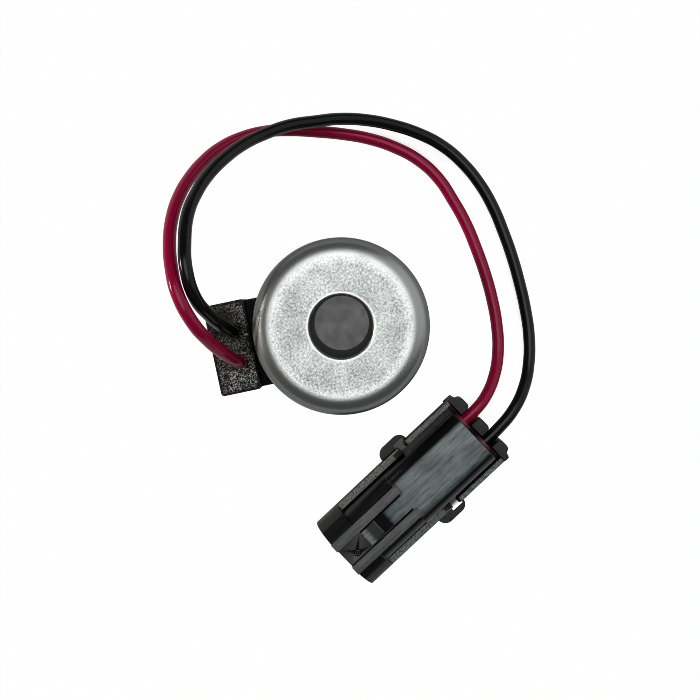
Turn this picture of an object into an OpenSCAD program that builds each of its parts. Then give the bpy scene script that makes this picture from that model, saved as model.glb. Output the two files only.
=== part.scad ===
// Solenoid valve coil: a steel can around a wound bobbin, with two leads that end in a
// sealed two-way connector. Millimetres. The valve stem's axis is Z and the coil stands on z = 0.
// The connector lies along X, with its open mouth towards -X.

/* [Coil can] */
// Outside diameter of the drawn steel can
can_d = 36.5; // [34:0.1:42]
// Height of the coil over both steel ends
can_h = 38; // [32:0.5:50]
// Thickness of the can's side wall
can_wall = 1.6; // [1:0.1:2]
// Thickness of the can's flat end
can_end_t = 2; // [1.6:0.1:3]
// Outside radius of the drawn edge
can_edge_r = 3.8; // [2.4:0.1:4]
// Diameter of the hole in the can's flat end
pole_hole_d = 13.2; // [13:0.1:14]
// Size of the can's two broken edges, round at the hole and cut at the foot
can_rim_r = 0.25; // [0.2:0.05:0.6]
// Thickness of the washer that closes the open end
washer_t = 2.4; // [1.5:0.1:3.5]

/* [Bobbin and winding] */
// Bore for the valve stem
stem_bore_d = 12.8; // [12.2:0.1:13]
// Wall of the bobbin's tube
bobbin_wall = 0.9; // [0.6:0.1:1.5]
// Diameter of the bobbin's flanges
flange_d = 29; // [25:0.5:29.5]
// Thickness of the bobbin's flanges
flange_t = 1.6; // [1:0.1:2.5]
// Outside diameter of the copper winding
winding_d = 27; // [20:0.5:27.5]
// Thickness of the tape round the winding
tape_t = 0.3; // [0.2:0.05:0.5]
// Diameter of the enamelled copper wire
magnet_wire_d = 0.6; // [0.3:0.05:0.8]

/* [Lead block] */
// Direction of the block, from the stem's axis
block_angle = 148.5; // [140:0.5:156]
// Width of the block across the leads
block_w = 20; // [16:0.1:22]
// Depth of the block along its direction
block_depth = 9; // [6:0.1:11]
// Gap between the can's wall and the block
block_gap = 1.55; // [1:0.05:3]
// Height of the block's top face
block_top = 20; // [18:0.5:26]
// Height of the block itself
block_h = 15; // [13:0.5:17]
// Radius of the block's upright corners
block_corner_r = 0.7; // [0.3:0.1:1.5]
// How far the neck is narrower than the block, each side
neck_inset = 0.3; // [0.1:0.1:1]
// How far the neck lies below the block's top
neck_drop = 2.5; // [1:0.1:4]
// How far each lead's axis lies inside the block's inner face
lead_inset = 3.2; // [1.7:0.05:4]
// Spacing of the two leads in the block
block_pitch = 6.6; // [5:0.1:9]
// How deep each lead is moulded in
lead_depth = 5; // [3:0.5:6]

/* [Leads and splices] */
// Diameter over the lead's insulation
lead_d = 2.75; // [2.2:0.05:2.8]
// Diameter of the bare strand
strand_d = 1.2; // [0.8:0.05:1.4]
// Diameter of the crimped splice
splice_d = 2.5; // [2:0.1:3]
// Length of the crimped splice
splice_len = 4.5; // [4:0.1:5]

/* [Connector housing] */
// Place of the connector's mouth along X
conn_x = -35.7; // [-40:0.1:-30]
// Place of the connector's axis along Y
conn_y = -38.8; // [-42:0.1:-36]
// Spacing of the two terminals
cavity_pitch = 6.8; // [6.4:0.1:7]
// Height of the terminals above the table
cavity_z = 7.6; // [7.2:0.1:8]
// Width of the shroud
shroud_w = 18.8; // [18.6:0.1:20]
// Height of the shroud
shroud_h = 15; // [14.5:0.1:15.5]
// Outside corner radius of the shroud
shroud_r = 7.2; // [6:0.1:7.2]
// Wall of the shroud
shroud_wall = 1.9; // [1.4:0.1:2.2]
// Width of the shroud's mouth
mouth_w = 12.8; // [12.4:0.1:13.2]
// Corner radius of the shroud's mouth
mouth_r = 3.1; // [2.6:0.1:3.6]
// Depth of the shroud's mouth
shroud_depth = 19; // [16:0.5:21]
// Length of the closed collar at the mouth
collar_len = 6.5; // [4:0.1:9]
// Distance from the mouth to the rear end of the side bars
bar_end = 25.4; // [24:0.1:26]
// Height of the side bars' upper edge
bar_top = 9; // [8.9:0.1:9.6]
// Height of the floor between the side bars
bar_floor = 4; // [3.5:0.1:5]
// Width of the groove between the shroud and each side bar
bar_groove = 0.4; // [0.3:0.05:0.6]
// Width of each guide rail
rail_w = 2.2; // [1.5:0.1:2.6]
// Gap between the guide rails
rail_gap = 4.7; // [4.4:0.1:5.2]
// Length of the guide rails
rail_len = 19.8; // [15:0.1:20]
// How far the rails stand above the shroud
rail_rise = 0.9; // [0.5:0.1:2]
// Width of the barrel that holds the terminals
barrel_w = 14.4; // [14:0.1:14.6]
// Height of the barrel
barrel_h = 15.6; // [15:0.1:16]
// Radius of the barrel's shoulders
barrel_r = 3.7; // [3:0.1:5.2]
// Distance from the mouth to the barrel's rear face
barrel_end = 40.1; // [39:0.1:42]

/* [Terminals and seals] */
// Diameter of each contact pin
pin_d = 2.2; // [1.5:0.1:2.4]
// Distance from the mouth to the tip of each pin
pin_tip = 4; // [2:0.5:8]
// Diameter of the terminal's body
terminal_d = 3.4; // [3:0.1:3.6]
// Diameter over each seal's ribs
seal_d = 5.4; // [4.4:0.1:5.5]
// Length of each seal
seal_len = 5.5; // [4:0.1:7]
// How far each seal stands out of the barrel
seal_proud = 0.8; // [0:0.1:0.8]

/* [Secondary lock] */
// Distance from the mouth to the lock's hinge axis
lock_axis_x = 28.4; // [28:0.1:29]
// Height of the lock's hinge axis
lock_axis_z = 7; // [5.5:0.1:7.2]
// Width over the lock's arms
lock_w = 19; // [18.8:0.1:19.4]
// Thickness of each arm
arm_w = 1.2; // [1:0.1:1.4]
// Height of the arms' upper edge
arm_top = 9.8; // [9:0.1:10.2]
// Rounding of each arm about the hinge
arm_nose_r = 1.3; // [1:0.1:1.4]
// Gap between the barrel and the lock's rear wall
lock_gap = 1.1; // [1.1:0.1:2]
// Thickness of the rear wall
lock_wall_t = 1.3; // [0.8:0.1:2]
// How far the fingers reach behind the rear wall
finger_len = 1.5; // [0.5:0.1:2]
// Height of the rear wall's lower edge
lock_low = 3.4; // [3:0.1:3.6]
// How far the rear wall's sill reaches forward under the seals
sill_len = 1; // [0.4:0.1:1]
// Height of the fingers' upper ends
lock_high = 10.4; // [9.5:0.1:12]
// Half width over the hinge straps
strap_reach = 11.65; // [11.2:0.05:12]
// Length of the hinge straps
strap_len = 7.6; // [7:0.1:8]
// Width of the hinge straps at their middle
strap_t = 1.3; // [0.9:0.05:1.4]
// Height of the hinge straps
strap_h = 1; // [0.6:0.1:1]

/* [Clearances] */
// Radial room between pieces that are pressed or moulded together
seat_gap = 0.05; // [0.02:0.01:0.08]
// Radial room round a lead in its bore
lead_gap = 0.03; // [0.02:0.01:0.05]
// Radial room round a terminal in its cavity
cavity_gap = 0.2; // [0.1:0.05:0.3]
// Room between a lead and its slot in the lock
slot_gap = 0.25; // [0.2:0.05:0.4]
// Room between the barrel's heel and the lock as it swings
swing_gap = 0.35; // [0.3:0.05:0.5]

/* [Hidden] */
$fn = 64;
EPS = 0.01;
CUT = 1;
LEAD_SIDES = 8;

// Coil, from the outside in
can_in_r = can_d / 2 - can_wall;
can_ceiling = can_h - can_end_t;
can_fillet_r = can_edge_r - max(can_wall, can_end_t);
bobbin_low = washer_t + seat_gap;
bobbin_high = can_ceiling - seat_gap;
bobbin_r = stem_bore_d / 2 + bobbin_wall;
winding_low = bobbin_low + flange_t + seat_gap;
winding_high = bobbin_high - flange_t - seat_gap;
tape_r = winding_d / 2 + tape_t;
fill_r = can_in_r - seat_gap;

// Lead block, in a frame that is turned to its direction
block_in = can_d / 2 + block_gap;
block_low = block_top - block_h;
neck_w = block_w - 2 * neck_inset;
neck_bite = 1;
neck_top = block_top - neck_drop;
neck_root = tape_r + neck_bite;
exit_r = block_in + lead_inset;
lead_bore_r = lead_d / 2 + lead_gap;
lead_foot = block_top - lead_depth;
lead_rise = 4;
splice_bite = 1.5;
strand_show = 1.5;
splice_high = lead_foot - strand_show;
splice_low = splice_high - splice_len;
wire_bend_r = 1.2;
wire_rise = 0.6;
wire_z = splice_low - wire_bend_r - wire_rise;
wire_start = sqrt(pow(winding_d / 2, 2) - pow((block_pitch - magnet_wire_d) / 2, 2)) + seat_gap;
gate_steps = 3;
gate_r = 1.9;
gate_step_h = 0.35;
BLACK = -1;
RED = 1;

// Connector, measured from its mouth
mouth_h = shroud_h - 2 * shroud_wall;
tube_wall = 0.9;
tube_w = mouth_w + 2 * tube_wall;
bar_in = tube_w / 2 + bar_groove;
partition_t = 2;
partition_end = shroud_depth + partition_t;
rail_out = rail_gap / 2 + rail_w;
channel_depth = 1;
channel_z = shroud_h - channel_depth;
tongue_gap = 0.4;
tongue_w = rail_gap - 2 * tongue_gap;
nib_set = 0.2;
nib_x = collar_len + nib_set;
nib_rise = 1.5;
nib_land = 1.2;
nib_foot = 3.6;
dish_len = 4.2;
dish_x = nib_x + dish_len;
dish_rise = 0.3;
tongue_ramp = 3.4;
gate_mark_at = [3, -1];
gate_mark_r = 0.75;
gate_mark_depth = 0.35;
gate_pip_r = 0.3;
catch_len = 2.2;
catch_w = 1.2;
catch_rise = 0.8;
terminal_end = 32;
strip_len = 4;
tail_step = 0.5;
crimp_lead = 1;
seal_seat = barrel_end + seal_proud - seal_len;
seal_bore_r = seal_d / 2 + lead_gap;
cavity_r = terminal_d / 2 + cavity_gap;
pin_hole_r = pin_d / 2 + seat_gap;
lock_wall_x = barrel_end + lock_gap;
lock_tip_x = lock_wall_x + lock_wall_t + finger_len;
lead_straight = 1;
sill_t = 1;
sill_top = lock_low + sill_t;
sill_x = lock_wall_x - sill_len;
swing_r = norm([sill_x - lock_axis_x, lock_axis_z - sill_top]) - swing_gap;
slot_r = lead_d / 2 + slot_gap;
finger_round = 1.1;
finger_slant = 1.3;
strap_front = lock_axis_x - strap_len;
strap_relief = 0.6;
strap_z = lock_axis_z - strap_h / 2;

// Leads: round points chosen along the route, from the block round to the connector
black_exit = block_point(exit_r, BLACK * block_pitch / 2);
red_exit = block_point(exit_r, RED * block_pitch / 2);
black_bend = [
  [-18.1, 16.8, 29.5], [-18, 20, 35], [-17.2, 24.5, 39.5], [-14.5, 29.5, 41], [-11, 34, 39],
  [-7, 38, 35.5], [-3, 40.5, 31.5], [1.5, 42.2, 27.5], [6.5, 43, 23.5], [11.5, 43, 19.5],
  [16.5, 42, 16], [22, 40, 13], [27, 37, 10.5], [31.5, 34, 8.2], [36, 29.8, 6.2],
  [39.8, 25, 4.5], [43, 19.6, 3.2], [45.2, 13.8, 2.2], [46, 7.6, 1.6], [45.6, 1.4, 1.4],
  [44.2, -4.6, 1.4], [42, -10.5, 1.4], [39.5, -16.2, 1.4], [36.6, -21.8, 1.4],
  [33.4, -27.2, 1.5], [29.8, -32.2, 1.9], [25.4, -36.6, 3], [20.4, -39.8, 5], [15, -41.6, 6.8]];
red_bend = [
  [-21.6, 12.4, 31], [-21.6, 16.3, 36], [-21, 21, 40], [-19.2, 27, 41], [-16.6, 32, 39],
  [-13.5, 36.5, 35.7], [-10, 40.2, 32], [-6.2, 43, 28], [-2, 45, 23.8], [2.5, 46.2, 19.6],
  [7.2, 46.5, 15.7], [12.2, 45.6, 12], [17.2, 43.4, 9], [21.8, 40, 6.5], [26, 36, 4.6],
  [30.2, 31.5, 3.2], [34, 26.6, 2.3], [37, 21.2, 1.7], [39, 15.3, 1.5], [39.5, 9.1, 1.4],
  [38.5, 3, 1.4], [37, -3, 1.4], [34.8, -8.9, 1.4], [32.3, -14.6, 1.4], [29.4, -20.1, 1.4],
  [26, -25.3, 1.6], [22, -29.8, 2.6], [17.2, -33.2, 4.6], [12.4, -35, 6.6]];
black_route = lead_route(black_exit, black_bend, conn_y + BLACK * cavity_pitch / 2);
red_route = lead_route(red_exit, red_bend, conn_y + RED * cavity_pitch / 2);

// A point of the block's own frame, turned to the block's direction
function block_point(r, t) = [
  r * cos(block_angle) - t * sin(block_angle),
  r * sin(block_angle) + t * cos(block_angle)];

// A lead's whole route: up out of its bore, along the bends, then straight into its cavity
function lead_route(exit, bends, y) = concat(
  [[exit.x, exit.y, lead_foot], [exit.x, exit.y, block_top], [exit.x, exit.y, block_top + lead_rise]],
  bends,
  [[conn_x + lock_tip_x + lead_straight, y, cavity_z], [conn_x + barrel_end, y, cavity_z],
   [conn_x + terminal_end, y, cavity_z]]);

function unit(v) = v / norm(v);

function tangent(route, i) = unit(
  route[min(i + 1, len(route) - 1)] - route[max(i - 1, 0)]);

// The part of v that is square to t, made one long
function square_to(v, t) = unit(v - (v * t) * t);

// Ring corners of a round tube along a route, each ring turned as little as possible from the last
function tube_points(route, r, sides) = [
  for (i = 0, t = tangent(route, 0), n = square_to([1, 0, 0], t);
    i < len(route);
    i = i + 1,
    t = i < len(route) ? tangent(route, i) : t,
    n = square_to(n, t))
  for (k = [0 : sides - 1])
  route[i] + r * (cos(360 * k / sides) * n + sin(360 * k / sides) * cross(t, n))];

function tube_faces(rings, sides) = concat(
  [[for (k = [0 : sides - 1]) k]],
  [for (i = [0 : rings - 2], k = [0 : sides - 1])
    [i * sides + k, (i + 1) * sides + k, i * sides + (k + 1) % sides]],
  [for (i = [0 : rings - 2], k = [0 : sides - 1])
    [i * sides + (k + 1) % sides, (i + 1) * sides + k, (i + 1) * sides + (k + 1) % sides]],
  [[for (k = [sides - 1 : -1 : 0]) (rings - 1) * sides + k]]);

module tube(route, r, sides) {
  polyhedron(tube_points(route, r, sides), tube_faces(len(route), sides));
}

// Flat shapes

module rounded_rect(w, h, r) {
  square([w, h - 2 * r], center = true);
  square([w - 2 * r, h], center = true);
  for (x = [-1, 1], y = [-1, 1])
    translate([x * (w / 2 - r), y * (h / 2 - r)])
      circle(r);
}

module ring_profile(r_in, r_out, low, high) {
  translate([r_in, low])
    square([r_out - r_in, high - low]);
}

// Coil

// Half section of a round block with a rounded upper edge
module domed_section(r, h, edge_r) {
  square([r, h - edge_r]);
  square([r - edge_r, h]);
  translate([r - edge_r, h - edge_r])
    circle(edge_r);
}

// Stem hole, widened by the rounding of its upper rim
module hole_section() {
  square([pole_hole_d / 2, can_h + CUT]);
  difference() {
    translate([0, can_h - can_rim_r])
      square([pole_hole_d / 2 + can_rim_r, can_rim_r + CUT]);
    translate([pole_hole_d / 2 + can_rim_r, can_h - can_rim_r])
      circle(can_rim_r);
  }
}

// Half section of the drawn can: a wall, a flat end with the stem hole, and a rounded edge
module can_profile() {
  difference() {
    domed_section(can_d / 2, can_h, can_edge_r);
    translate([0, -CUT])
      domed_section(can_in_r, can_ceiling + CUT, can_fillet_r);
    hole_section();
    polygon([[can_d / 2 - can_rim_r, 0], [can_d / 2, can_rim_r], [can_d / 2 + CUT, can_rim_r],
      [can_d / 2 + CUT, -CUT], [can_d / 2 - can_rim_r, -CUT]]);
  }
}

module can() {
  slot_w = neck_w + 2 * seat_gap;
  color("silver")
    difference() {
      rotate_extrude()
        can_profile();
      rotate(block_angle)
        translate([stem_bore_d / 2, -slot_w / 2, -CUT])
          cube([can_d, slot_w, neck_top + seat_gap + CUT]);
    }
}

// Washer round the bobbin's nose, flush with the can's rim
module base_washer() {
  color("silver")
    rotate_extrude()
      ring_profile(bobbin_r + seat_gap, can_in_r - seat_gap, 0, washer_t);
}

module bobbin() {
  color("dimgray")
    rotate_extrude() {
      ring_profile(stem_bore_d / 2, bobbin_r, 0, bobbin_high);
      ring_profile(stem_bore_d / 2, flange_d / 2, bobbin_low, bobbin_low + flange_t);
      ring_profile(stem_bore_d / 2, flange_d / 2, bobbin_high - flange_t, bobbin_high);
    }
}

module winding() {
  color("peru")
    rotate_extrude()
      ring_profile(bobbin_r + seat_gap, winding_d / 2, winding_low, winding_high);
}

module winding_tape() {
  color("khaki")
    difference() {
      rotate_extrude()
        ring_profile(winding_d / 2 + seat_gap, tape_r, winding_low, winding_high);
      for (side = [BLACK, RED])
        wire_path(side, magnet_wire_d / 2 + seat_gap);
    }
}

// Enamelled wire from the winding out to a splice, then up into it
module wire_path(side, r) {
  rise = splice_low + splice_bite - wire_z - wire_bend_r;
  rotate(block_angle)
    translate([0, side * block_pitch / 2, wire_z]) {
      translate([exit_r - wire_bend_r, 0, 0])
        rotate([0, -90, 0])
          cylinder(h = exit_r - wire_bend_r - wire_start, r = r);
      translate([exit_r - wire_bend_r, 0, wire_bend_r])
        rotate([90, 0, 0])
          rotate_extrude(angle = 90, start = -90)
            translate([wire_bend_r, 0])
              circle(r);
      translate([exit_r, 0, wire_bend_r])
        cylinder(h = rise, r = r);
    }
}

// Everything that is moulded in below a lead: splice, strand and the lead's own bore
module splice_room(side) {
  rotate(block_angle)
    translate([exit_r, side * block_pitch / 2, 0]) {
      translate([0, 0, splice_low])
        cylinder(h = splice_len, r = splice_d / 2 + seat_gap);
      translate([0, 0, splice_high - EPS])
        cylinder(h = lead_foot - splice_high + 2 * EPS, r = strand_d / 2 + seat_gap);
      translate([0, 0, lead_foot])
        cylinder(h = lead_depth + CUT, r = lead_bore_r);
    }
}

// Moulded fill round the winding, with the neck and the lead block in one piece
module encapsulation() {
  chamfer = max(can_fillet_r, EPS);
  low = washer_t + seat_gap;
  high = can_ceiling - seat_gap;
  color("black")
    difference() {
      union() {
        rotate_extrude()
          difference() {
            polygon([[tape_r + seat_gap, low], [fill_r, low], [fill_r, high - chamfer],
              [fill_r - chamfer, high], [tape_r + seat_gap, high]]);
            ring_profile(0, flange_d / 2 + seat_gap, low - CUT, low + flange_t + seat_gap);
            ring_profile(0, flange_d / 2 + seat_gap, high - flange_t - seat_gap, high + CUT);
          }
        rotate(block_angle) {
          translate([neck_root, -neck_w / 2, block_low])
            cube([block_in + block_corner_r - neck_root, neck_w, neck_top - block_low]);
          translate([block_in + block_depth / 2, 0, block_low])
            linear_extrude(block_h)
              rounded_rect(block_depth, block_w, block_corner_r);
          moulding_gate();
        }
      }
      for (side = [BLACK, RED]) {
        wire_path(side, magnet_wire_d / 2 + seat_gap);
        splice_room(side);
      }
    }
}

// Stepped pip that the mould's gate leaves between the leads
module moulding_gate() {
  for (i = [0 : gate_steps - 1])
    translate([block_in + gate_r, 0, block_top - EPS])
      cylinder(h = (i + 1) * gate_step_h + EPS, r = gate_r * (1 - i / gate_steps));
}

module start_wire() {
  color("peru")
    wire_path(BLACK, magnet_wire_d / 2);
}

module finish_wire() {
  color("peru")
    wire_path(RED, magnet_wire_d / 2);
}

module splice(side) {
  rotate(block_angle)
    translate([exit_r, side * block_pitch / 2, splice_low])
      difference() {
        cylinder(h = splice_len, r = splice_d / 2);
        translate([0, 0, -CUT])
          cylinder(h = splice_bite + CUT + seat_gap, r = magnet_wire_d / 2 + seat_gap);
        translate([0, 0, splice_len - splice_bite - seat_gap])
          cylinder(h = splice_bite + CUT, r = strand_d / 2 + seat_gap);
      }
}

module black_splice() {
  color("tan")
    splice(BLACK);
}

module red_splice() {
  color("tan")
    splice(RED);
}

// Leads

// Bare strand at both ends of a lead: down into the splice, and forward into the terminal
module strand(side) {
  rotate(block_angle)
    translate([exit_r, side * block_pitch / 2, splice_high - splice_bite])
      cylinder(h = lead_foot - splice_high + splice_bite, r = strand_d / 2);
  translate([conn_x + terminal_end - strip_len, conn_y + side * cavity_pitch / 2, cavity_z])
    rotate([0, 90, 0])
      cylinder(h = strip_len, r = strand_d / 2);
}

module black_strand() {
  color("peru")
    strand(BLACK);
}

module red_strand() {
  color("peru")
    strand(RED);
}

module black_lead() {
  color("black")
    tube(black_route, lead_d / 2, LEAD_SIDES);
}

module red_lead() {
  color("crimson")
    tube(red_route, lead_d / 2, LEAD_SIDES);
}

// Connector

module on_connector() {
  translate([conn_x, conn_y, 0])
    children();
}

// Extrudes a flat shape, drawn across the connector, along its length
module along(from, to) {
  translate([from, 0, 0])
    rotate([90, 0, 90])
      linear_extrude(to - from)
        children();
}

module shroud_outline() {
  translate([0, shroud_h / 2])
    rounded_rect(shroud_w, shroud_h, shroud_r);
}

module mouth_outline() {
  translate([0, shroud_h / 2])
    rounded_rect(mouth_w, mouth_h, mouth_r);
}

// Section of the barrel: round shoulders over a square foot
module barrel_outline() {
  flat = barrel_w / 2 - barrel_r;
  translate([-barrel_w / 2, 0])
    square([barrel_w, barrel_h - barrel_r]);
  translate([-flat, 0])
    square([2 * flat, barrel_h]);
  for (y = [-flat, flat])
    translate([y, barrel_h - barrel_r])
      circle(barrel_r);
}

module tube_outline() {
  translate([0, shroud_h / 2])
    rounded_rect(tube_w, mouth_h + 2 * tube_wall, mouth_r + tube_wall);
}

// Collar at the mouth, and the side bars behind it, low enough to show the shroud's shoulders
module collar_and_bars() {
  difference() {
    along(0, bar_end)
      shroud_outline();
    for (side = [-1, 1])
      translate([collar_len, side > 0 ? rail_out : -shroud_w, bar_top])
        cube([bar_end, shroud_w - rail_out, shroud_h]);
    for (y = [-bar_in, tube_w / 2])
      translate([collar_len, y, bar_floor])
        cube([bar_end, bar_groove, shroud_h]);
    translate([shroud_depth, -bar_in, bar_floor])
      cube([bar_end, 2 * bar_in, shroud_h]);
  }
}

// Open-fronted shroud, closed at its rear by the partition that carries the pins
module shroud() {
  difference() {
    union() {
      collar_and_bars();
      along(collar_len - EPS, partition_end)
        tube_outline();
    }
    along(-CUT, shroud_depth)
      mouth_outline();
    translate([-CUT, -rail_gap / 2, channel_z])
      cube([rail_len + CUT, rail_gap, shroud_h]);
    gate_mark();
  }
}

// Round dent with a pip, where the mould was filled
module gate_mark() {
  translate([gate_mark_at.x, gate_mark_at.y, channel_z - gate_mark_depth])
    difference() {
      cylinder(h = shroud_h, r = gate_mark_r);
      translate([0, 0, -EPS])
        cylinder(h = gate_mark_depth, r = gate_pip_r);
    }
}

// Ramps at the rear of the side bars, which guide the arms as the lock closes
module lock_catches() {
  for (side = [-1, 1])
    translate([bar_end - catch_len, side * (bar_in + catch_w / 2) + catch_w / 2, bar_top])
      rotate([90, 0, 0])
        linear_extrude(catch_w)
          polygon([[0, -EPS], [catch_len, -EPS], [catch_len, catch_rise]]);
}

module guide_rails() {
  for (side = [-1, 1])
    translate([0, side * (rail_gap + rail_w) / 2 - rail_w / 2, shroud_h - shroud_wall / 2])
      cube([rail_len, rail_w, rail_rise + shroud_wall / 2]);
}

// Catch for the mating half's latch, and the tongue that rises behind it to the barrel
module lock_nib() {
  translate([0, tongue_w / 2, 0])
    rotate([90, 0, 0])
      linear_extrude(tongue_w)
        polygon([[nib_x, channel_z - EPS], [nib_x, channel_z + nib_rise],
          [nib_x + nib_land, channel_z + nib_rise], [nib_x + nib_foot, channel_z + dish_rise],
          [dish_x, channel_z + dish_rise], [dish_x + tongue_ramp, barrel_h],
          [partition_end, barrel_h], [partition_end, channel_z - EPS]]);
}

// Barrel with its lower rear edge rounded to the lock's swing
module barrel() {
  difference() {
    along(shroud_depth, barrel_end)
      barrel_outline();
    difference() {
      translate([lock_axis_x, -barrel_w, -CUT])
        cube([barrel_end, 2 * barrel_w, lock_axis_z]);
      translate([lock_axis_x, barrel_w + CUT, lock_axis_z])
        rotate([90, 0, 0])
          cylinder(h = 2 * (barrel_w + CUT), r = swing_r);
    }
  }
}

module cavity(side) {
  translate([0, side * cavity_pitch / 2, cavity_z])
    rotate([0, 90, 0]) {
      translate([0, 0, shroud_depth - CUT])
        cylinder(h = partition_t + 2 * CUT, r = pin_hole_r);
      translate([0, 0, partition_end])
        cylinder(h = seal_seat - partition_end + EPS, r = cavity_r);
      translate([0, 0, seal_seat])
        cylinder(h = seal_len, r = seal_bore_r);
    }
}

module connector_housing() {
  color("black")
    on_connector()
      difference() {
        union() {
          shroud();
          barrel();
          guide_rails();
          lock_nib();
          lock_catches();
        }
        for (side = [BLACK, RED])
          cavity(side);
      }
}

// Round pin, stepped body and a crimped tail
module terminal(side) {
  tip_r = pin_d / 4;
  tip_len = 1.5;
  crimp_x = terminal_end - strip_len - crimp_lead;
  on_connector()
    translate([0, side * cavity_pitch / 2, cavity_z])
      rotate([0, 90, 0])
        difference() {
          union() {
            translate([0, 0, pin_tip])
              cylinder(h = tip_len, r1 = tip_r, r2 = pin_d / 2);
            translate([0, 0, pin_tip + tip_len])
              cylinder(h = partition_end + seat_gap - pin_tip - tip_len + EPS, r = pin_d / 2);
            translate([0, 0, partition_end + seat_gap])
              cylinder(h = crimp_x - partition_end - seat_gap, r = terminal_d / 2);
            translate([0, 0, crimp_x - EPS])
              cylinder(h = terminal_end - crimp_x - seat_gap + EPS, r = terminal_d / 2 - tail_step);
          }
          translate([0, 0, terminal_end - strip_len - seat_gap])
            cylinder(h = strip_len + CUT, r = strand_d / 2 + seat_gap);
        }
}

module black_terminal() {
  color("goldenrod")
    terminal(BLACK);
}

module red_terminal() {
  color("goldenrod")
    terminal(RED);
}

// Ribbed seal between a lead and its cavity
module seal(side) {
  ribs = 3;
  groove = 0.35;
  pitch = seal_len / (2 * ribs - 1);
  on_connector()
    translate([seal_seat, side * cavity_pitch / 2, cavity_z])
      rotate([0, 90, 0])
        rotate_extrude() {
          ring_profile(lead_bore_r, seal_d / 2 - groove, 0, seal_len);
          for (i = [0 : ribs - 1])
            ring_profile(lead_bore_r, seal_d / 2, 2 * i * pitch, (2 * i + 1) * pitch);
        }
}

module black_seal() {
  color("maroon")
    seal(BLACK);
}

module red_seal() {
  color("maroon")
    seal(RED);
}

// Secondary lock

// Plan of the rear wall: three fingers with rounded tips, standing on one cross wall
module lock_wall_plan() {
  slot_in = cavity_pitch / 2 - slot_r;
  slot_out = cavity_pitch / 2 + slot_r;
  half = lock_w / 2;
  translate([lock_wall_x, -half])
    square([lock_wall_t, lock_w]);
  finger_plan(-slot_in, slot_in, 0);
  finger_plan(slot_out, half, finger_slant);
  mirror([0, 1])
    finger_plan(slot_out, half, finger_slant);
}

// One finger between two widths, its outer side slanted in towards the rounded tip
module finger_plan(near, far, slant) {
  tip_far = far - slant;
  shoulder = lock_tip_x - finger_round;
  polygon([[lock_wall_x, near], [shoulder, near], [shoulder, tip_far], [lock_wall_x + lock_wall_t, far],
    [lock_wall_x, far]]);
  translate([shoulder - EPS, near + finger_round])
    square([finger_round + EPS, tip_far - near - 2 * finger_round]);
  for (y = [near + finger_round, tip_far - finger_round])
    translate([shoulder, y])
      circle(finger_round);
}

// Upright arm with a round nose at the hinge, so that nothing below the axis meets the bars
module lock_arm(side) {
  y = side > 0 ? lock_w / 2 : arm_w - lock_w / 2;
  nose_top = arm_top - lock_axis_z - arm_nose_r;
  reach = lock_wall_x - lock_axis_x + EPS;
  translate([lock_axis_x, y, lock_axis_z])
    rotate([90, 0, 0])
      linear_extrude(arm_w) {
        for (rise = [0, nose_top])
          translate([0, rise])
            circle(arm_nose_r);
        translate([-arm_nose_r, 0])
          square([reach + arm_nose_r, nose_top]);
        translate([0, -arm_nose_r])
          square([reach, nose_top + 2 * arm_nose_r]);
      }
}

// Ledge at the foot of the rear wall, under the seals
module lock_sill() {
  translate([sill_x, -lock_w / 2, lock_low])
    cube([sill_len + EPS, lock_w, sill_t]);
}

module secondary_lock() {
  color("black")
    on_connector()
      difference() {
        union() {
          translate([0, 0, lock_low])
            linear_extrude(lock_high - lock_low)
              lock_wall_plan();
          lock_sill();
          for (side = [-1, 1])
            lock_arm(side);
        }
        for (side = [BLACK, RED])
          translate([lock_wall_x - CUT, side * cavity_pitch / 2, cavity_z]) {
            rotate([0, 90, 0])
              cylinder(h = lock_tip_x - lock_wall_x + 2 * CUT, r = slot_r);
            translate([0, -slot_r, 0])
              cube([lock_tip_x - lock_wall_x + 2 * CUT, 2 * slot_r, lock_high]);
          }
      }
}

// Flat bowed strap from a side bar across to the lock's arm, thin enough upwards to bend
module hinge_strap(side) {
  bar_face = shroud_w / 2;
  arm_face = lock_w / 2;
  bow_r = strap_reach - arm_face;
  relief_to = lock_axis_x - arm_nose_r + strap_relief;
  color("black")
    on_connector()
      mirror([0, side > 0 ? 0 : 1, 0])
        translate([0, 0, strap_z])
          linear_extrude(strap_h)
            difference() {
              union() {
                translate([strap_front + bow_r, bar_face])
                  square([strap_len - 2 * bow_r, strap_reach - bar_face]);
                for (x = [strap_front + bow_r, lock_axis_x - bow_r])
                  translate([x, strap_reach - bow_r])
                    circle(bow_r);
              }
              translate([strap_front - CUT, 0])
                square([strap_len + 2 * CUT, bar_face]);
              translate([bar_end, 0])
                square([strap_len, arm_face]);
              translate([bar_end - strap_relief, 0])
                square([relief_to - bar_end + strap_relief, strap_reach - strap_t]);
            }
}

module left_hinge_strap() {
  hinge_strap(1);
}

module right_hinge_strap() {
  hinge_strap(-1);
}

can();
base_washer();
bobbin();
winding();
winding_tape();
encapsulation();
start_wire();
finish_wire();
black_splice();
red_splice();
black_strand();
red_strand();
black_lead();
red_lead();
connector_housing();
black_terminal();
red_terminal();
black_seal();
red_seal();
secondary_lock();
left_hinge_strap();
right_hinge_strap();
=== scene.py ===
# %% [markdown]
# # A solenoid valve coil, dressed for its photograph
#
# The coil is a zinc-plated steel can over a copper winding. Two leads come out of a moulded
# block at its side and end in a sealed two-way connector with a hinged lock at its rear.
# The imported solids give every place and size. This script gives the finish: the leads as
# smooth curves, the mouldings with rounded edges, and a material for each surface.

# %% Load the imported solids
import math

import bmesh
import bpy
from mathutils import Matrix, Vector
from mathutils.bvhtree import BVHTree


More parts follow.
